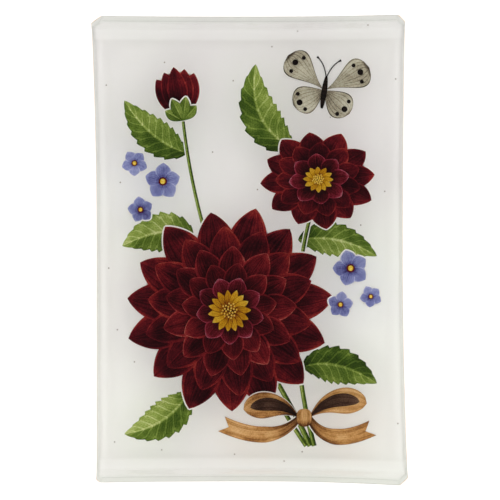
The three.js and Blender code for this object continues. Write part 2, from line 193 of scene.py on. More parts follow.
# %% [markdown]
# Light. Glass mirrors whatever stands over it, so a softbox there would lay a grey veil over the picture.
# The tray stands in a white tent that lights it evenly from all round. Straight above, where the lens looks
# in, the tent has a wide opening with a soft edge. The flat glass mirrors only that dark opening and stays
# clear. The tent's wall ends above the table, so the flat glass stays clearer from the sides too. Only at
# the tray's two short ends does a strip of light run right down to the table: the turned-up ends mirror it
# from top to foot, and an even strip lays no stripe on them.
#
# OPENING and FOOT are heights in the tent, from 0 at the table to 1 straight above, and STRIPS is how far a
# direction leans to the tray's long sides. Each gives where the tent is dark and where it is fully lit.
#
# Filter Glossy is set to nothing, because it would blur the light that runs inside the glass and lose some.

# %% A white tent with a dark opening, as the world
TENT = {"colour": "FDFDFF", "strength": 1.8, "dark": 0.03}
OPENING = (0.994, 0.82)
FOOT = (0.15, 0.6)
STRIPS = (0.5, 0.25)

bpy.context.scene.view_settings.view_transform = "Standard"
world = bpy.data.worlds.new("white tent with a dark opening")
bpy.context.scene.world = world
world.use_nodes = True
tent = world.node_tree
towards = add(tent, "SeparateXYZ", {"Vector": add(tent, "TexCoord").outputs["Generated"]})
aside = add(tent, "Math", {0: towards.outputs["X"]}, operation="ABSOLUTE")
up = towards.outputs["Z"]
opening, wall, strips = [
    between(tent, value, dark, lit, TENT["dark"])
    for value, (dark, lit) in ((up, OPENING), (up, FOOT), (aside, STRIPS))
]
lit = add(tent, "Math", {0: wall, 1: strips}, operation="MAXIMUM")
seen = add(tent, "Math", {0: opening, 1: lit}, operation="MULTIPLY")
brightness = add(tent, "Math", {0: seen, 1: TENT["strength"]}, operation="MULTIPLY")
feed(tent, tent.nodes["Background"], {"Color": to_linear(TENT["colour"]), "Strength": brightness})
bpy.context.scene.cycles.blur_glossy = 0
print("A tent of strength", TENT["strength"])

# %% [markdown]
# The floor is a white light table. The tent alone would leave a grey shadow round the tray, so the table
# also glows faintly.

# %% Floor
FLOOR = {"width": 4000, "below": 0.05, "colour": "D0D0D0", "glow": 0.5}
bpy.ops.mesh.primitive_plane_add(size=FLOOR["width"] * MM, location=(0, 0, -FLOOR["below"] * MM))
floor = bpy.context.object
floor.name = "light_table"
opal, tree, shader = new_material("opal acrylic light table")
feed(tree, shader, {
    "Base Color": to_linear(FLOOR["colour"]), "Roughness": 0.9, "Specular IOR Level": 0.1,
    "Emission Color": to_linear("FFFFFF"), "Emission Strength": FLOOR["glow"]})
floor.data.materials.append(opal)
print("Floor", FLOOR["width"], "mm wide")

# %% [markdown]
# The slumped sheet. Glass, ground paper and backing all follow one bent shape, so one function makes it and
# each of them is an offset of it. It could be modelled bent from the start, but a flat sheet that a Curve
# modifier bends keeps its length along the bend, as the real sheet did in the kiln. The grid has wide cells
# on the flat and close ones in the bends.
#
# A real blank is never quite square. FLARE is how far each corner stands out to the side and to the end,
# and NIP is how much is nipped off it across and along.

# %% The plan and the bend of the sheet
HALF_WIDTH = 75.45
HALF_LENGTH = 114.15
MIDDLE = (0.05, 0.52)
SIDE_FLARE = {(-1, 1): 2.65, (1, 1): 1.1, (-1, -1): -0.05, (1, -1): 2.55}
END_FLARE = {(-1, 1): 0.35, (1, 1): 0.95, (-1, -1): 0.6, (1, -1): 2}
NIP_ACROSS = {(-1, 1): 5.5, (1, 1): 3.9, (-1, -1): 2.2, (1, -1): 4.6}
NIP_ALONG = {(-1, 1): 5.8, (1, 1): 5.6, (-1, -1): 2.8, (1, -1): 6}
BEND_RADIUS = 13
END_ANGLE = radians(58)
END_LIP = 4.5
FLAT_HALF = HALF_LENGTH - BEND_RADIUS * sin(END_ANGLE) - END_LIP * cos(END_ANGLE)
BEND_END = FLAT_HALF + BEND_RADIUS * END_ANGLE
ARC_HALF = BEND_END + END_LIP
SIDE_LIFT = 0.7
LIFT_FROM = 0.868 * HALF_WIDTH


def end_profile(distance):
    """How far along and how high the underside is, at a distance along the sheet from its middle."""
    angle = max(0, min(distance, BEND_END) - FLAT_HALF) / BEND_RADIUS
    lip = max(0, distance - BEND_END)
    along = min(distance, FLAT_HALF) + BEND_RADIUS * sin(angle) + lip * cos(END_ANGLE)
    return along, BEND_RADIUS * (1 - cos(angle)) + lip * sin(END_ANGLE)


print("The flat part is", round(2 * FLAT_HALF, 1), "mm long, and the sheet", round(2 * ARC_HALF, 1), "mm")

# %% The lines of the grid
COLUMNS = {"middle": LIFT_FROM - 1, "end": HALF_WIDTH, "coarse": 24, "fine": 16}
ROWS = {"middle": FLAT_HALF - 3, "end": ARC_HALF, "coarse": 36, "fine": 32}
SHORTEST = 1.4


def graded(margin, middle, end, coarse, fine):
    """Places from -end to end: coarse steps to middle, fine ones past it, the last drawn in by margin."""
    half = [middle * step / coarse for step in range(coarse)]
    half += [middle + (end - middle) * step / fine for step in range(fine)]
    half = [line for line in half if line < end - margin - SHORTEST] + [end - margin]
    return [-line for line in reversed(half[1:])] + half


def flat_sheet(name, margins):
    """A flat grid with the sheet's lines, and those lines: its columns across and its rows along."""
    columns, rows = graded(margins[0], **COLUMNS), graded(margins[1], **ROWS)
    width = len(columns)
    bpy.ops.mesh.primitive_grid_add(x_subdivisions=width - 1, y_subdivisions=len(rows) - 1, size=2)
    sheet = bpy.context.object
    sheet.name = name
    bpy.ops.object.mode_set(mode="EDIT")
    mesh = bmesh.from_edit_mesh(sheet.data)
    mesh.verts.ensure_lookup_table()
    for number, column in enumerate(columns):
        pick(mesh, range(number, len(mesh.verts), width))
        now = 2 * number / (width - 1) - 1
        bpy.ops.transform.translate(value=(column * MM - now, 0, 0))
    for number, row in enumerate(rows):
        pick(mesh, range(number * width, (number + 1) * width))
        now = 2 * number / (len(rows) - 1) - 1
        bpy.ops.transform.translate(value=(0, row * MM - now, 0))
    return sheet, mesh, columns, rows


# %% [markdown]
# Each row of the grid is stretched from the middle on either side by what the plan asks for there. The
# flare grows with the square of the way to the end, and the nip starts a few millimetres before it.

# %% Shape the plan, row by row
def stretch_rows(mesh, columns, rows, nip_inset):
    """nip_inset draws the nipped corners of a paper in, so that it stays under the glass there."""
    for number, row in enumerate(rows):
        end = 1 if row > 0 else -1
        for side in (-1, 1):
            corner = (side, end)
            nipped = NIP_ACROSS[corner] * max(0, 1 - (ARC_HALF - nip_inset - abs(row)) / NIP_ALONG[corner])
            flare = SIDE_FLARE[corner] * (end_profile(abs(row))[0] / HALF_LENGTH) ** 2
            wider = (HALF_WIDTH + flare - nipped) / HALF_WIDTH
            first = number * len(columns)
            pick(mesh, [first + i for i, column in enumerate(columns) if column * side > 0])
            bpy.ops.transform.resize(value=(wider, 1, 1), center_override=(0, 0, 0))


# %% [markdown]
# Where the picture lies, the papers are pressed a little below the glass. In edit mode that is one move of
# the middle of the sheet with proportional editing, which lets the ground around it follow smoothly.

# %% Press the middle down by the thickness of the picture
PICTURE_HALF_LENGTH = 98.5
PRESSED_WITHIN = 9


def press_down(mesh, columns, rows, depth):
    inside = [
        number * len(columns) + i
        for number, row in enumerate(rows) for i, column in enumerate(columns)
        if abs(row) <= PICTURE_HALF_LENGTH and abs(column) <= LIFT_FROM
    ]
    pick(mesh, inside)
    bpy.ops.transform.translate(
        value=(0, 0, -depth * MM), use_proportional_edit=True, proportional_edit_falloff="SMOOTH",
        proportional_size=PRESSED_WITHIN * MM)


# %% The line that the sheet is bent along
BEND_STEPS = 24


def bend_line():
    """A curve in the YZ plane that runs up both ends. Its tilt keeps the sheet's upper side up."""
    bend = [FLAT_HALF + (BEND_END - FLAT_HALF) * step / BEND_STEPS for step in range(BEND_STEPS + 1)]
    half = [end_profile(distance) for distance in [0, *bend, ARC_HALF]]
    points = [(-along, up) for along, up in reversed(half[1:])] + half
    curve = bpy.data.curves.new("bend", "CURVE")
    curve.dimensions = "3D"
    curve.twist_mode = "MINIMUM"
    spline = curve.splines.new("POLY")
    spline.points.add(len(points) - 1)
    for point, (along, up) in zip(spline.points, points):
        point.co = (0, along * MM, up * MM, 1)
        point.tilt = pi / 2
    line = bpy.data.objects.new("bend", curve)
    bpy.context.scene.collection.objects.link(line)
    return line


# %% The whole slumped sheet
def slumped_sheet(name, height, margins=(0, 0), pressed=0):
    """The sheet's shape, height above the glass's underside. margins are for its sides and its ends."""
    sheet, mesh, columns, rows = flat_sheet(name, margins)
    stretch_rows(mesh, columns, rows, margins[1] / 2)
    if pressed:
        press_down(mesh, columns, rows, pressed)
    bpy.ops.mesh.select_all(action="SELECT")
    bpy.ops.transform.translate(value=(0, ARC_HALF * MM, height * MM))
    bpy.ops.object.mode_set(mode="OBJECT")
    line = bend_line()
    modify(sheet, "CURVE", object=line, deform_axis="POS_Y")
    bpy.data.objects.remove(line)

    bpy.ops.object.mode_set(mode="EDIT")
    mesh = bmesh.from_edit_mesh(sheet.data)
    mesh.verts.ensure_lookup_table()
    for i, column in enumerate(columns):
        lifted = max(0, (abs(column) - LIFT_FROM) / (HALF_WIDTH - LIFT_FROM))
        whole = range(i, len(mesh.verts), len(columns))
        if lifted:
            pick(mesh, whole)
            bpy.ops.transform.translate(value=(0, 0, SIDE_LIFT * lifted ** 2 * MM))
        for end in (-1, 1):
            corner = (1 if column > 0 else -1, end)
            longer = 1 + END_FLARE[corner] * (column / HALF_WIDTH) ** 2 / HALF_LENGTH
            pick(mesh, [number for number in whole if mesh.verts[number].co.y * end > 0])
            bpy.ops.transform.resize(value=(1, longer, 1), center_override=(0, 0, 0))
    bpy.ops.mesh.select_all(action="SELECT")
    bpy.ops.transform.translate(value=(MIDDLE[0] * MM, MIDDLE[1] * MM, GLASS_Z * MM))
    bpy.ops.object.mode_set(mode="OBJECT")
    return sheet


# %% [markdown]
# The glass. Its upper and lower faces are two such sheets, bridged at the rim. A Bevel then rounds both
# rims, as the flame did that polished them. The lower face reaches a hair below the ground paper's upper
# face: the papers are wet with glue against real glass, with no air between, and a render only shows that
# deep, wet look if no air is left there either.

# %% The glass piece
UPPER_ROUND = 1.2
LOWER_ROUND = 0.25
WETTED = 0.02


def bridge_rims(lower, upper, name):
    """One closed sheet, whose two rims carry weights for how far they are rounded."""
    of_lower = len(lower.data.vertices)
    choose(lower, upper)
    bpy.ops.object.join()
    lower.name = name
    bpy.ops.object.mode_set(mode="EDIT")
    bpy.ops.mesh.select_mode(type="EDGE")
    bpy.ops.mesh.select_all(action="DESELECT")
    mesh = bmesh.from_edit_mesh(lower.data)
    roundness = mesh.edges.layers.float.new("bevel_weight_edge")
    # The rim layer marks the rim's vertices, where the glass material paints a darker grey-green shade.
    at_rim = mesh.verts.layers.float.new("rim")
    for edge in mesh.edges:
        edge.select_set(edge.is_boundary)
        if edge.is_boundary:
            edge[roundness] = 1 if edge.verts[0].index >= of_lower else LOWER_ROUND / UPPER_ROUND
            for corner in edge.verts:
                corner[at_rim] = 1
    bpy.ops.mesh.bridge_edge_loops()
    bpy.ops.mesh.select_mode(type="VERT")
    bpy.ops.mesh.select_all(action="SELECT")
    bpy.ops.mesh.normals_make_consistent(inside=False)
    bpy.ops.object.mode_set(mode="OBJECT")
    return lower


lower = slumped_sheet("lower_face", -GLUE - WETTED, pressed=PICTURE_DEPTH)
upper = slumped_sheet("upper_face", GLASS)
glass = bridge_rims(lower, upper, "slumped_glass")
modify(glass, "BEVEL", width=UPPER_ROUND * MM, segments=5, limit_method="WEIGHT")
choose(glass)
bpy.ops.object.shade_smooth()
print("Glass:", len(glass.data.polygons), "faces, box", [round(value, 4) for value in glass.dimensions])

# %% [markdown]
# Two more sheets of the same bend lie behind the picture, each thickened by Solidify. Both are cut shorter
# than the glass at its turned-up ends and nipped corners, where they would show past it. At the sides the
# backing stands out by a hair, as a thin buff line.

# %% The papers behind the picture
GROUND_MARGINS = (0.1, 0.7)
BACKING_MARGINS = (-0.3, 1.2)


def backing_sheet(name, depth, thickness, margins):
    """A sheet whose upper face lies depth below the glass, under the picture's own thickness."""
    sheet = slumped_sheet(name, -depth, margins, PICTURE_DEPTH)
    modify(sheet, "SOLIDIFY", thickness=thickness * MM, offset=-1)
    choose(sheet)
    bpy.ops.object.shade_smooth()
    print(name, "is", [round(value, 4) for value in sheet.dimensions])
    return sheet


ground = backing_sheet("ground_paper_sheet", GLUE, GROUND_PAPER, GROUND_MARGINS)
backing = backing_sheet("sealed_backing_sheet", 2 * GLUE + GROUND_PAPER, BACKING, BACKING_MARGINS)

# %% [markdown]
# Clear glass. A Principled shader with full transmission bends and mirrors light as glass does. Soda glass
# has an IOR of about 1.52. Its faint grey-green comes from iron in the batch and only shows along a long
# way through it, so it is an absorption inside the glass. The rim is also tinted a darker grey-green, which
# is painted shade for the dark band along it. A sheet from the kiln is never quite flat, which a very
# shallow, wide bump gives.

# %% Glass material
WAVE = {"width": 22, "height": 0.15}
# The rim colour is painted shade on the rim. Inside and density are the iron's real absorption.
IRON_AND_RIM_SHADE = {"rim": "E2E5DF", "inside": "D3D5D2", "density": 6}
clear_glass, tree, shader = new_material("kiln-slumped soda glass, fire polished")
at_rim = add(tree, "Attribute", attribute_name="rim").outputs["Fac"]
rim_shade_tint = add(tree, "Mix", {"Factor": at_rim, "A": to_linear("FFFFFF"), "B": to_linear(IRON_AND_RIM_SHADE["rim"])},
           data_type="RGBA")
bump = add(tree, "Bump", {
    "Height": noise(tree, WAVE["width"], 1), "Distance": WAVE["height"] * MM, "Strength": 1})
iron = add(tree, "VolumeAbsorption", {"Color": to_linear(IRON_AND_RIM_SHADE["inside"]), "Density": IRON_AND_RIM_SHADE["density"]})
feed(tree, shader, {
    "Base Color": rim_shade_tint, "Normal": bump, "Transmission Weight": 1, "Roughness": 0.01, "IOR": 1.52})
feed(tree, tree.nodes["Material Output"], {"Volume": iron})
glass.data.materials.clear()
glass.data.materials.append(clear_glass)
print("Material:", clear_glass.name)

# %% [markdown]
# The ground is rag paper. Such paper is never one white: it is cloudy, it has short fibres and a few brown
# foxing specks. Its upper half is also painted a little darker, as painted shade. Each of these is a
# pattern of its own at its real size.

# %% Off-white paper material
PAPER = {"light": "F9F9F3", "dark": "F6F4F0", "speck": "877765", "upper_shade": "F9F8FA"}
SHADED_FROM, SHADED_TO = -15, 60
CLOUD, FIBRE = 45, 0.7
SPECK = {"spacing": 26, "dark_within": 0.26, "gone_by": 0.468}
rag_paper, tree, shader = new_material("off-white rag paper, lightly foxed")
where = add(tree, "TexCoord").outputs["Object"]
mottle = add(tree, "Math", {0: noise(tree, FIBRE, 2), 1: 0.3, 2: noise(tree, CLOUD, 3)},
             operation="MULTIPLY_ADD")
white = add(tree, "ValToRGB", {0: mottle}, stops=[(0.45, PAPER["dark"]), (0.8, PAPER["light"])])
# Painted shade: the sheet is multiplied a little darker towards its upper end.
upwards = add(tree, "SeparateXYZ", {"Vector": where}).outputs["Y"]
upper_half_shade = between(tree, upwards, SHADED_FROM * MM, SHADED_TO * MM)
shaded_paper = add(tree, "Mix", {"Factor": upper_half_shade, "A": white, "B": to_linear(PAPER["upper_shade"])},
           data_type="RGBA", blend_type="MULTIPLY")
dots = add(tree, "TexVoronoi", {"Vector": where, "Scale": 1 / (SPECK["spacing"] * MM)},
           voronoi_dimensions="2D")
speck = add(tree, "MapRange", {
    "Value": dots, "From Min": SPECK["dark_within"] / SPECK["spacing"],
    "From Max": SPECK["gone_by"] / SPECK["spacing"], "To Min": 0.8, "To Max": 0})
foxed = add(tree, "Mix", {"Factor": speck, "A": shaded_paper, "B": to_linear(PAPER["speck"])}, data_type="RGBA")
feed(tree, shader, {"Base Color": foxed, "Roughness": 0.85, "Specular IOR Level": 0.05})
ground.data.materials.append(rag_paper)
print("Material:", rag_paper.name)

# %% Sealed backing material
BUFF = {"light": "F4DFCA", "dark": "E0C6A8"}
buff_paper, tree, shader = new_material("buff backing paper, sealed with satin varnish")
buff = add(tree, "ValToRGB", {0: noise(tree, FIBRE, 3)}, stops=[(0.35, BUFF["dark"]), (0.7, BUFF["light"])])
feed(tree, shader, {"Base Color": buff, "Roughness": 0.45})
backing.data.materials.append(buff_paper)
print("Material:", buff_paper.name)

# %% [markdown]
# Cut paper. Petals, leaves and ribbons are all strips: narrow or broad at their foot, shaped along their
# length, and straight or bent. A strip starts as a grid whose rows are scaled one by one to the width that
# the shape has there. The grid brings a UV map with it, u across and v along the strip, which the veins and
# shading of the prints follow later.

# %% A strip of paper
CUT_MARGIN = 0.5
PRINT_THICKNESS = 0.03
MARGIN_THICKNESS = 0.05
NOTCH_ROWS = 3


def strip(name, length, half_width, material, across=10, along=24, foot=0, thickness=PRINT_THICKNESS,
          notch=0):
    """A strip along +Y from foot, half_width(t) wide on either side of its spine for t from 0 to 1.

    notch is how deep its end is cut in."""
    bpy.ops.mesh.primitive_grid_add(x_subdivisions=across, y_subdivisions=along, size=2)
    piece = bpy.context.object
    piece.name = name
    bpy.ops.object.mode_set(mode="EDIT")
    bpy.ops.mesh.select_all(action="SELECT")
    bpy.ops.transform.translate(value=(0, 1, 0))
    bpy.ops.transform.resize(value=(1, length * MM / 2, 1), center_override=(0, 0, 0))
    bpy.ops.transform.translate(value=(0, foot * MM, 0))
    mesh = bmesh.from_edit_mesh(piece.data)
    mesh.verts.ensure_lookup_table()
    for row in range(along + 1):
        pick(mesh, range(row * (across + 1), (row + 1) * (across + 1)))
        bpy.ops.transform.resize(value=(half_width(row / along) * MM, 1, 1), center_override=(0, 0, 0))
    for back in range(NOTCH_ROWS if notch else 0):
        for column in range(across + 1):
            inwards = (1 - abs(2 * column / across - 1)) * (1 - back / NOTCH_ROWS)
            pick(mesh, [(along - back) * (across + 1) + column])
            bpy.ops.transform.translate(value=(0, -notch * inwards * MM, 0))
    bpy.ops.mesh.select_all(action="SELECT")
    bpy.ops.mesh.remove_doubles(threshold=1e-6)
    bpy.ops.object.mode_set(mode="OBJECT")
    modify(piece, "SOLIDIFY", thickness=thickness * MM, offset=1)
    piece.data.materials.append(material)
    return piece


def give_tone(piece, tone):
    """How much lighter or darker this cut-out is printed than its neighbours, from -1 to 1."""
    layer = piece.data.attributes.new("tone", "FLOAT", "POINT")
    layer.data.foreach_set("value", [tone] * len(piece.data.vertices))


# %% [markdown]
# A leaf or a ribbon is bent in the plane of the paper. As with the glass, a straight strip follows a curve,
# here a Bezier curve with its two handles pulled towards one point.

# %% Bend a strip, and join cut-outs
def bow(start, over, end):
    """A curve from start to end that is pulled towards over, and its length."""
    bpy.ops.curve.primitive_bezier_curve_add()
    line = bpy.context.object
    line.data.dimensions = "3D"
    line.data.resolution_u = 32
    middle = Vector((*over, 0)) * MM
    for point, place in zip(line.data.splines[0].bezier_points, (start, end)):
        point.handle_left_type = point.handle_right_type = "FREE"
        point.co = Vector((*place, 0)) * MM
        point.handle_left = point.handle_right = point.co.lerp(middle, 2 / 3)
        point.tilt = pi / 2
    settle(line)
    return line, line.data.splines[0].calc_length() / MM


def bent_strip(name, route, half_width, material, **shape):
    """A strip along the bow through the three points of route."""
    line, length = bow(*route)
    piece = strip(name, length, half_width, material, **shape)
    modify(piece, "CURVE", object=line, deform_axis="POS_Y")
    bpy.data.objects.remove(line)
    return piece


def join(name, cut_outs):
    """One piece from several cut-outs."""
    choose(*cut_outs)
    if len(cut_outs) > 1:
        bpy.ops.object.join()
    piece = bpy.context.object
    piece.name = piece.data.name = name
    settle(piece)
    return piece


def at(piece, centre):
    piece.location.x, piece.location.y = centre[0] * MM, centre[1] * MM


def raise_by(piece, height):
    piece.location.z += height * MM


# %% [markdown]
# A finished piece takes the place of its node: it lies at the same height, moves with the tray and has the
# finish that the record names. The last lines measure how far its box differs from the node's.


def stands_for(piece, node_name, lift=True):
    """lift raises a print to its node's height. The sheets are made in place and need none."""
    if lift:
        piece.location.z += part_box(node_name)[0].z
    settle(piece)
    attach(piece, "root")
    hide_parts(node_name)
    corners = [[getattr(point.co, axis) for point in piece.data.vertices] for axis in "xyz"]
    off = [max(abs(min(mine) - low), abs(max(mine) - high))
           for mine, low, high in zip(corners, *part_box(node_name))]
    print(piece.name, "differs from", node_name, "by", [round(value / MM, 2) for value in off], "mm")


stands_for(glass, "glass_tray", lift=False)
stands_for(ground, "ground_paper", lift=False)
stands_for(backing, "backing", lift=False)

# %% [markdown]
# The prints are old hand-coloured engravings: fine dark lines under a thin wash. All of them are built one
# way. A number called light gathers what lightens or darkens the print: its rim, its foot and tip, the rib
# along its middle, its veins, the cloudiness of the wash and the grain of the plate. A colour ramp then
# turns light into ink. So a maroon petal and a green leaf differ only in a few numbers and in their ramp.
#
# Places on a cut-out are shares: across it from 0 at the rib to 1 at the rim, along it from 0 at the foot
# to 1 at the tip.

# %% Printed paper
GRAIN, WASH, TOOTH = 0.6, 13, 0.01
STREAKS = (26, 2.2, 9)


def printed(name, ramp, light=0.5, ribs=(0, 0), thin=0.6, rim_from=0.7, foot_to=0.5, tip_from=0.8,
            **shares):
    """Ink on rag paper. ribs says how many veins cross the half width and how many cross the length."""
    material, tree, shader = new_material(name)
    wash, grain = noise(tree, WASH, 3), noise(tree, GRAIN, 2)
    uv = add(tree, "SeparateXYZ", {"Vector": add(tree, "UVMap", uv_map="UVMap")})
    u, v = uv.outputs["X"], uv.outputs["Y"]
    double = add(tree, "Math", {0: u, 1: 2.0, 2: -1.0}, operation="MULTIPLY_ADD")
    edge = add(tree, "Math", {0: double}, operation="ABSOLUTE")
    across = add(tree, "Math", {0: edge, 1: ribs[0], 2: wash}, operation="MULTIPLY_ADD")
    veins = add(tree, "Math", {0: v, 1: ribs[1], 2: across}, operation="MULTIPLY_ADD")
    hatching = add(tree, "Math", {0: veins, 1: 3.0}, operation="MULTIPLY")
    waves = []
    for lines in (veins, hatching):
        angle = add(tree, "Math", {0: lines, 1: tau}, operation="MULTIPLY")
        waves.append(add(tree, "Math", {0: angle}, operation="SINE"))
    tone = add(tree, "Attribute", attribute_name="tone").outputs["Fac"]
    along = add(tree, "CombineXYZ", {"X": u, "Y": v, "Z": tone})
    drawn_out = add(tree, "VectorMath", {0: along, 1: STREAKS}, operation="MULTIPLY")
    streaks = add(tree, "TexNoise", {"Vector": drawn_out, "Scale": 1, "Detail": 2})
    terms = {
        "rim": between(tree, edge, rim_from, 1.0),
        "tip": between(tree, v, tip_from, 1.0),
        "foot": between(tree, v, 0.0, foot_to, 1.0, 0.0),
        "midrib": between(tree, edge, 0.02, 0.12, 1.0, 0.0),
        "side": between(tree, double, -0.1, 0.1, -1.0, 1.0),
        "vein": between(tree, waves[0], thin, 1.0),
        "hatch": between(tree, waves[1], 0.2, 1.0),
        "cloud": between(tree, wash, 0.35, 0.65, -1.0, 1.0),
        "grain": between(tree, grain, 0.3, 0.7, -1.0, 1.0),
        "streak": between(tree, streaks, 0.35, 0.65, -1.0, 1.0),
        "tone": tone,
    }
    total = light
    for term, share in shares.items():
        total = add(tree, "Math", {0: terms[term], 1: share, 2: total}, operation="MULTIPLY_ADD")
    colour = add(tree, "ValToRGB", {0: total}, stops=ramp)
    tooth = add(tree, "Bump", {"Height": grain, "Distance": TOOTH * MM})
    feed(tree, shader, {
        "Base Color": colour, "Normal": tooth, "Roughness": 0.8, "Specular IOR Level": 0.05})
    return material


RAG_WHITE = [(0, "E4DFD2"), (1, "FBFAF5")]
cut_edge = printed("white margin that the scissors left", RAG_WHITE, light=0.8, grain=0.2)
print("Material:", cut_edge.name)

# %% [markdown]
# The blooms. A petal is narrow at its foot, widest past its middle and blunt at its tip. One petal of each
# ring is modelled and copied round the flower, with a small sway of its turn and reach. Each copy leans a
# hair to one side, so that every petal lies over its neighbour on the left and under the one on the right,
# all the way round. A real print has that only as lines of ink, but leaning paper lets the veins and the
# darker foot of each petal fall into place by themselves.

# %% A ring of petals
LEAN = radians(0.16)
SWAY = {"turn": 0.04, "reach": 0.03}
tones = Random(9)


def swelling(t, late, slim):
    """From 0 up to 1 and back. late over 1 puts its top past the middle, slim under 1 fills it out."""
    return max(0, sin(pi * t ** late)) ** slim


def petal_half_width(width, t, margin):
    return width / 2 * swelling(t, 1.2, 0.8) + margin


def over_margin(ink, thickness=PRINT_THICKNESS):
    """A cut-out's two layers: material, how much wider it is cut, thickness and height."""
    return [(ink, 0, thickness, MARGIN_THICKNESS), (cut_edge, CUT_MARGIN, MARGIN_THICKNESS, 0)]


def petal_ring(name, ring, ink, margin=False):
    """ring is how many petals stand round the origin, where they start and end, their width, and a turn."""
    count, foot, tip, width, turn = ring
    layers = over_margin(ink) if margin else [(ink, 0, PRINT_THICKNESS, 0)]
    cut_outs = []
    for material, wider, thickness, height in layers:
        petal = strip("petal", tip - foot + wider, lambda t: petal_half_width(width, t, wider), material,
                      foot=foot, thickness=thickness)
        give_tone(petal, 0)
        for number in range(count):
            copy = petal.copy()
            copy.data = petal.data.copy()
            bpy.context.collection.objects.link(copy)
            angle = turn + number * tau / count + SWAY["turn"] * sin(5 * number + count)
            copy.rotation_euler = (0, 0 if wider else LEAN, angle - pi / 2)
            copy.scale.y = 1 + SWAY["reach"] * sin(3.7 * number + count)
            copy.location.z = height * MM
            layer = copy.data.attributes["tone"]
            layer.data.foreach_set("value", [tones.uniform(-1, 1)] * len(copy.data.vertices))
            cut_outs.append(copy)
        bpy.data.objects.remove(petal)
    return join(name, cut_outs)


# %% Petal inks
MAROON = [(0, "1F0105"), (0.25, "39060D"), (0.5, "5E1019"), (0.75, "8E2422"), (1, "B4503F")]
RED = [(0, "230205"), (0.25, "43080F"), (0.5, "6C151C"), (0.75, "9C2B2B"), (1, "C8705E")]
ROSE = [(0, "250509"), (0.3, "581019"), (0.6, "93283A"), (0.85, "B5596A"), (1, "D79AA0")]
petal_veins = {"ribs": (3.5, 0), "thin": 0.75, "vein": -0.2, "streak": 0.08, "midrib": -0.16, "grain": 0.1}
maroon = printed("maroon wash over engraved petals", MAROON, light=0.36, rim=0.3, tip=0.22, foot=-0.5,
                 foot_to=0.75, side=0.03, cloud=0.16, tone=0.06, **petal_veins)
red = printed("dark red wash over engraved petals", RED, light=0.36, rim=0.32, tip=0.25, foot=-0.5,
              foot_to=0.8, side=0.03, cloud=0.14, tone=0.07, **petal_veins)
rose = printed("rose wash over engraved petals", ROSE, light=0.36, rim=0.3, tip=0.4, foot=-0.5, foot_to=0.9,
               cloud=0.1, tone=0.08, **petal_veins)
print("Three petal inks")

# %% The large bloom and the side bloom
BLOOMS = {
    "large_bloom": {
        "centre": (-10, -30), "tilt": 1,
        "rings": [
            (15, 14, 51, 19, 0.1),
            (14, 11, 42, 16.5, 0.31),
            (13, 8, 33, 14, 0.05),
            (11, 5.6, 24.5, 11.8, 0.2),
            (9, 4, 17, 9.6, 0.5),
        ],
        "inks": [maroon, maroon, red, red, rose],
    },
    "side_bloom": {
        "centre": (34, 35), "tilt": 0.85,
        "rings": [
            (12, 8, 28.5, 13.2, 0.12),
            (11, 6, 22, 11, 0.35),
            (8, 3, 15, 9.4, 0.1),
        ],
        "inks": [maroon, maroon, rose],
    },
}
for bloom, shape in BLOOMS.items():
    for number, (ring, ink) in enumerate(zip(shape["rings"], shape["inks"]), start=1):
        piece = petal_ring(f"printed_{bloom}_petals_{number}", ring, ink, margin=number == 1)
        piece.scale.y = shape["tilt"]
        at(piece, shape["centre"])
        stands_for(piece, f"{bloom}_petals_{number}")

# %% [markdown]
# The hearts. Short golden florets stand round a button of stamens. The button's dots follow the golden
# angle, which spreads them evenly as on a real flower head.

# %% Hearts of the blooms
GOLD = [(0, "3A1504"), (0.3, "8C4A0A"), (0.6, "D19A16"), (0.85, "EBC33A"), (1, "F7E27C")]
gold = printed("golden yellow florets", GOLD, light=0.67, ribs=(2, 0), vein=-0.12, rim=-0.3, foot=-0.55,
               foot_to=0.7, midrib=-0.18, tip=0.2, grain=0.08, tone=0.12)
pollen = printed("pale yellow pollen", GOLD, light=0.9, rim=-0.3, rim_from=0.4, grain=0.1, tone=0.1)
GOLDEN_ANGLE = radians(137.508)
POLLEN = {"radius": 0.5, "dots": 26}
HEART_TO_BUTTON = 2.6


def dot(radius, material, sides=8):
    """A small round of paper, inset once so that its rim can be shaded."""
    bpy.ops.mesh.primitive_circle_add(vertices=sides, radius=radius * MM, fill_type="NGON")
    piece = bpy.context.object
    bpy.ops.object.mode_set(mode="EDIT")
    bpy.ops.mesh.select_all(action="SELECT")
    bpy.ops.mesh.inset(thickness=radius * MM / 3)
    bpy.ops.object.mode_set(mode="OBJECT")
    modify(piece, "SOLIDIFY", thickness=PRINT_THICKNESS * MM, offset=1)
    piece.data.materials.append(material)
    give_tone(piece, 0)
    return piece


def button(radius):
    """Dots of pollen spread over a disc by the golden angle."""
    dots = []
    for number in range(POLLEN["dots"]):
        out = radius * sqrt((number + 0.5) / POLLEN["dots"])
        turn = number * GOLDEN_ANGLE
        grain = dot(POLLEN["radius"], pollen)
        at(grain, (out * cos(turn), out * sin(turn)))
        raise_by(grain, 2 * PRINT_THICKNESS)
        dots.append(grain)
    return dots


HEARTS = {
    "large_bloom": {"florets": 15, "radius": 10.5, "width": 4},
    "side_bloom": {"florets": 12, "radius": 7.5, "width": 3.4},
}
for bloom, heart in HEARTS.items():
    florets = petal_ring("florets", (heart["florets"], 0, heart["radius"], heart["width"], 0), gold)
    piece = join(f"printed_{bloom}_heart", [florets, *button(heart["radius"] / HEART_TO_BUTTON)])
    piece.scale.y = BLOOMS[bloom]["tilt"]
    at(piece, BLOOMS[bloom]["centre"])
    stands_for(piece, f"{bloom}_heart")

# %% [markdown]
# The bud. Its petals still stand together, so they are five straight strips that lean apart from one foot,
# and four green sepals hold them. The outer ones are the shorter, as they lean away.

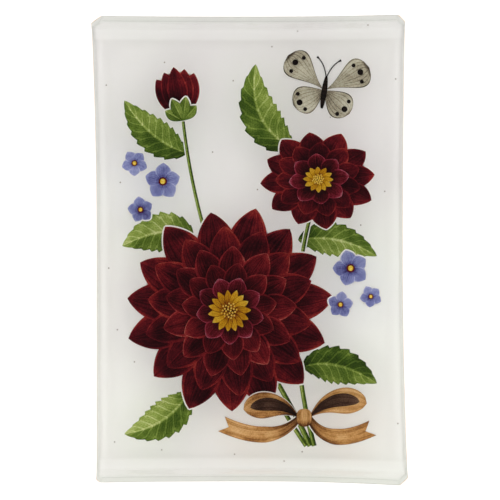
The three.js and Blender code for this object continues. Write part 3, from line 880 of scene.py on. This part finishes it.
# %% Bud
LEAF = [(0, "1D2B0A"), (0.25, "3E5518"), (0.5, "6B8230"), (0.75, "9DAE54"), (1, "D3D796")]
BUD = {"foot": (-33, 64), "turn": radians(100), "shorter": 0.25}
sepal_ink = printed("olive green sepals", LEAF, light=0.5, ribs=(3, 0), vein=-0.2, rim=-0.15, foot=-0.2,
                    tip=0.2, midrib=0.2, side=0.1, cloud=0.1, grain=0.08)


def fan(name, leans, length, width, ink):
    """Blades that lean apart from one foot, each over its own white margin."""
    cut_outs = []
    for number, lean in enumerate(leans):
        reach = length * (1 - BUD["shorter"] * abs(lean))
        for material, wider, thickness, height in over_margin(ink, PRINT_THICKNESS / 2):
            blade = strip("blade", reach + wider, lambda t: petal_half_width(width, t, wider), material,
                          thickness=thickness)
            give_tone(blade, tones.uniform(-1, 1))
            blade.rotation_euler.z = BUD["turn"] + lean - pi / 2
            raise_by(blade, height + (0 if wider else number * PRINT_THICKNESS / 4))
            cut_outs.append(blade)
    piece = join(name, cut_outs)
    at(piece, BUD["foot"])
    return piece


bud = fan("printed_bud_petals", (-0.4, 0.4, -0.2, 0.2, 0), length=27, width=10, ink=maroon)
stands_for(bud, "bud_petals")
sepals = fan("printed_bud_sepals", (-0.9, 0.9, -0.3, 0.3), length=13, width=5.5, ink=sepal_ink)
stands_for(sepals, "bud_sepals")

# %% [markdown]
# Leaves and stems. A leaf's edge is saw-toothed: each tooth rises slowly and drops back at once. The strip
# has six rows to a tooth, so the grid itself carries the teeth. Side veins run out from the rib to them.

# %% Leaves
LEAVES = [
    {"route": ((-28, 6), (-40, 14), (-63, 2)), "width": 20},
    {"route": ((26, -58), (42, -52), (63, -66)), "width": 19},
    {"route": ((-30, -70), (-40, -88), (-62, -91)), "width": 19},
    {"route": ((24, 5), (44, 9), (63, -3)), "width": 17},
    {"route": ((22, 50), (-2, 62), (3, 92)), "width": 20},
    {"route": ((-31, 48), (-50, 54), (-62, 74)), "width": 18},
]
TEETH = {"count": 9, "from": 0.87, "to": 1.052, "rows": 6}
leaf_ink = printed("olive green wash over engraved leaves", LEAF, light=0.46, ribs=(-1.6, TEETH["count"]),
                   thin=0.5, vein=0.16, hatch=-0.07, rim=-0.12, rim_from=0.85, midrib=0.3, side=0.11,
                   foot=-0.22, foot_to=0.35, tip=0.1, cloud=0.13, grain=0.09, tone=0.08)


def leaf_half_width(width, t, margin):
    """The margin fades in over the leaf's first quarter and out over its last."""
    tooth = t * TEETH["count"] % 1
    reach = TEETH["from"] + (TEETH["to"] - TEETH["from"]) * tooth
    return width / 2 * swelling(t, 0.8, 0.85) * reach + margin * min(1, 4 * t, 4 * (1 - t))


def with_margin(name, route, half_width, ink, **shape):
    """A printed strip on a bow, over the same strip in white, cut wider by the margin on either side."""
    face = bent_strip("face", route, lambda t: half_width(t, 0), ink, **shape)
    under = bent_strip("under", route, lambda t: half_width(t, CUT_MARGIN), cut_edge,
                       thickness=MARGIN_THICKNESS, **shape)
    raise_by(face, MARGIN_THICKNESS)
    tone = tones.uniform(-1, 1)
    give_tone(face, tone)
    give_tone(under, tone)
    return join(name, [face, under])


for number, leaf in enumerate(LEAVES, start=1):
    piece = with_margin(f"printed_leaf_{number}", leaf["route"],
                        lambda t, margin: leaf_half_width(leaf["width"], t, margin), leaf_ink,
                        along=TEETH["rows"] * TEETH["count"])
    stands_for(piece, f"leaf_{number}")

# %% Stems
STEMS = [
    {"route": ((30, -97), (18, -70), (-6, -34)), "width": 2.8},
    {"route": ((32, -97), (14, -30), (34, 30)), "width": 2.4},
    {"route": ((28, -97), (-24, -20), (-33, 65)), "width": 2.2},
]
STEM_TAPER = 0.3
stem_ink = printed("green wash over engraved stems", LEAF, light=0.5, ribs=(0.7, 30), thin=0.7, vein=-0.12,
                   rim=-0.3, rim_from=0.4, side=-0.2, cloud=0.1, grain=0.1)
stems = [
    with_margin("stem", stem["route"], lambda t, margin: stem["width"] / 2 * (1 - STEM_TAPER * t) + margin,
                stem_ink, across=6, along=40)
    for stem in STEMS
]
stands_for(join("printed_stems", stems), "stems")

# %% [markdown]
# Small blue flowers. Five lavender petals stand round a dark eye with a yellow middle. Their widths are
# shares of the flower's radius.

# %% Blue flowers
BLUE_FLOWERS = [
    {"centre": (-43, 34), "radius": 9, "turn": 0.3},
    {"centre": (-57, 43), "radius": 6.5, "turn": 0.9},
    {"centre": (-54, 20), "radius": 6.5, "turn": 0.5},
    {"centre": (50, -9), "radius": 9, "turn": 0.6},
    {"centre": (45, -27), "radius": 6.5, "turn": 0.2},
    {"centre": (60, -23), "radius": 5.5, "turn": 0.8},
]
BLUE = {"petals": 5, "width": 0.85, "eye": 0.24, "middle": 0.15}
LAVENDER = [(0, "2A2142"), (0.25, "4C4880"), (0.5, "7F85B8"), (0.75, "A9ACD0"), (1, "DDDCEC")]
lavender = printed("lavender blue wash over engraved petals", LAVENDER, light=0.52, ribs=(3.5, 0),
                   vein=-0.16, rim=0.22, tip=0.2, tip_from=0.7, foot=-0.4, foot_to=0.5, midrib=-0.14,
                   cloud=0.1, grain=0.07, tone=0.08)
eye_ink = printed("maroon eye", MAROON, light=0.45, grain=0.1)
for number, flower in enumerate(BLUE_FLOWERS, start=1):
    radius = flower["radius"]
    ring = (BLUE["petals"], 0, radius, radius * BLUE["width"], flower["turn"])
    petals = petal_ring("petals", ring, lavender, margin=True)
    eye = dot(radius * BLUE["eye"], eye_ink, sides=10)
    middle = dot(radius * BLUE["middle"], pollen, sides=10)
    raise_by(eye, MARGIN_THICKNESS + 1.5 * PRINT_THICKNESS)
    raise_by(middle, MARGIN_THICKNESS + 2 * PRINT_THICKNESS)
    piece = join(f"printed_blue_flower_{number}", [petals, eye, middle])
    at(piece, flower["centre"])
    stands_for(piece, f"blue_flower_{number}")

# %% [markdown]
# The ribbon that ties the stems: two tails with notched ends, two loops that show their darker inside, and
# a knot. Folds run along the ribbon, so its veins are broad and soft.

# %% Ribbon inks and widths
KNOT = {"centre": (27, -83), "radius": 4.5, "half_width": 3.7, "reach": 2.5}
TAIL = {"width": 8, "gathered": 0.35, "full_by": 1 / 2.2, "notch": 4}
LOOP = {"width": 13, "inside": 0.5, "inside_to": 0.9}
TAN = [(0, "3B2312"), (0.25, "7C4E2A"), (0.5, "BE8A4E"), (0.75, "DDAF74"), (1, "F3D5A6")]
BROWN = [(0, "1A0E08"), (0.4, "3F2A20"), (0.7, "5F4638"), (1, "8E7260")]
tan = printed("tan wash over an engraved ribbon", TAN, light=0.66, ribs=(1.2, 0), thin=-0.6, vein=-0.2,
              streak=0.07, rim=-0.3, rim_from=0.82, foot=-0.45, foot_to=0.45, cloud=0.1, grain=0.08,
              tone=0.05)
brown = printed("dark brown wash inside the ribbon's loops", BROWN, light=0.42, ribs=(1.5, 0), thin=0,
                vein=-0.15, streak=0.1, rim=-0.2, foot=-0.3, tip=0.35, cloud=0.12, grain=0.12)


def beside_knot(end):
    side = 1 if end[0] > KNOT["centre"][0] else -1
    return (KNOT["centre"][0] + side * KNOT["reach"], KNOT["centre"][1])


def tail_half_width(t, margin):
    spread = TAIL["gathered"] + (1 - TAIL["gathered"]) * min(1, t / TAIL["full_by"])
    return TAIL["width"] / 2 * spread + margin


def loop_half_width(share):
    return lambda t, margin: (share * LOOP["width"] / 2 + margin) * swelling(t, 1.7, 0.6)


def knot_half_width(t):
    return KNOT["half_width"] * max(0, 1 - abs(2 * t - 1) ** 3.5) ** 0.5


print("Ribbon inks:", tan.name, "and", brown.name)

# %% Tails, loops and knot
TAILS = [((12, -98), (-14, -86)), ((38, -99), (61, -88))]
LOOPS = [((14, -73), (-3, -79)), ((40, -71), (58, -76))]
for number, (over, end) in enumerate(TAILS, start=1):
    tail = with_margin(f"printed_ribbon_tail_{number}", (beside_knot(end), over, end), tail_half_width, tan,
                       notch=TAIL["notch"])
    stands_for(tail, f"ribbon_tail_{number}")
for number, (over, end) in enumerate(LOOPS, start=1):
    route = (beside_knot(end), over, end)
    loop = with_margin(f"printed_ribbon_loop_{number}", route, loop_half_width(1), tan)
    stands_for(loop, f"ribbon_loop_{number}")
    foot, pull, tip = (Vector(point) for point in route)
    last = LOOP["inside_to"]
    tip = foot * (1 - last) ** 2 + pull * 2 * last * (1 - last) + tip * last ** 2
    inside = bent_strip(f"printed_ribbon_loop_inside_{number}", (foot, pull, tip),
                        lambda t: loop_half_width(LOOP["inside"])(t, 0), brown)
    stands_for(inside, f"ribbon_loop_inside_{number}")

knot = strip("printed_ribbon_knot", 2 * KNOT["radius"], knot_half_width, tan, foot=-KNOT["radius"])
at(knot, KNOT["centre"])
stands_for(knot, "ribbon_knot")

# %% [markdown]
# The butterfly. Four stone-grey wings with dark veins, dark borders and near-black spots, and a dark body
# with two feelers. SPOTS gives each spot's place, in shares of the wing's reach and half width, and its
# radius.

# %% Butterfly inks
STONE = [(0, "1E1611"), (0.25, "5A4E40"), (0.5, "A79F88"), (0.75, "CDC8B2"), (1, "ECE9DA")]
INK = [(0, "0B0706"), (0.5, "1E1512"), (1, "5A463A")]
stone = printed("stone grey wash over engraved wings", STONE, light=0.66, ribs=(4, 0), thin=0.6, vein=-0.22,
                hatch=-0.08, rim=-0.5, rim_from=0.9, tip=-0.45, tip_from=0.9, foot=-0.35, foot_to=0.5,
                cloud=0.12, grain=0.08)
spot_ink = printed("near-black ink of the wing spots", INK, light=0.3, grain=0.15)
body_ink = printed("near-black brown ink of the body", INK, light=0.45, ribs=(0, 9), thin=0.3, vein=-0.4,
                   rim=-0.3, grain=0.15)
print("Three butterfly inks")

# %% Wings with their spots
BUTTERFLY = {"centre": (37, 79), "turn": -0.15}
WINGS = [
    {"reach": 25, "width": 15, "turn": 0.62, "late": 2.6},
    {"reach": 17, "width": 14, "turn": -0.6, "late": 1.6},
]
SPOTS = [(0.8, 0, 1.5), (0.74, 0.6, 1), (0.74, -0.6, 1)]


def printed_wing(wing, spread):
    """One wing over its margin, and its spots, turned to spread."""
    cut_outs = []
    for ink, wider, thickness, height in over_margin(stone):
        blade = strip("wing", wing["reach"],
                      lambda t: (wing["width"] / 2 + wider) * swelling(t, wing["late"], 0.6),
                      ink, thickness=thickness)
        give_tone(blade, 0)
        blade.rotation_euler.z = spread - pi / 2
        raise_by(blade, height)
        cut_outs.append(blade)
    for along, aside, radius in SPOTS:
        out, off = along * wing["reach"], aside * wing["width"] / 2
        spot = dot(radius, spot_ink, sides=14)
        at(spot, (out * cos(spread) - off * sin(spread), out * sin(spread) + off * cos(spread)))
        raise_by(spot, MARGIN_THICKNESS + 1.5 * PRINT_THICKNESS)
        cut_outs.append(spot)
    return cut_outs


def finish_butterfly_part(piece, node_name):
    piece.rotation_euler.z = BUTTERFLY["turn"]
    at(piece, BUTTERFLY["centre"])
    stands_for(piece, node_name)


cut_outs = []
for wing in WINGS:
    for spread in (wing["turn"], pi - wing["turn"]):
        cut_outs += printed_wing(wing, spread)
finish_butterfly_part(join("printed_butterfly_wings", cut_outs), "butterfly_wings")

# %% Body and feelers
BODY = {"ahead": 7, "behind": 9, "width": 2.8, "blunt_from": 0.06}
FEELER = {"route": ((0, -1), (1.5, 6), (6, 9)), "half_width": 0.25, "club": 0.3, "club_from": 0.85}


def body_half_width(t):
    """Blunt at both ends, because it starts and stops a little way into the swelling."""
    start = BODY["blunt_from"]
    return BODY["width"] / 2 * swelling(start + (1 - 2 * start) * t, 1, 0.6)


def feeler_half_width(t):
    into_club = max(0, t - FEELER["club_from"]) / (1 - FEELER["club_from"])
    return FEELER["half_width"] + FEELER["club"] * into_club


def feeler(side):
    route = [(side * across, BODY["ahead"] + ahead) for across, ahead in FEELER["route"]]
    return bent_strip("feeler", route, feeler_half_width, body_ink, across=2)


body = strip("body", BODY["ahead"] + BODY["behind"], body_half_width, body_ink, foot=-BODY["behind"],
             thickness=2 * PRINT_THICKNESS)
body = join("printed_butterfly_body", [body, feeler(-1), feeler(1)])
finish_butterfly_part(body, "butterfly_body")
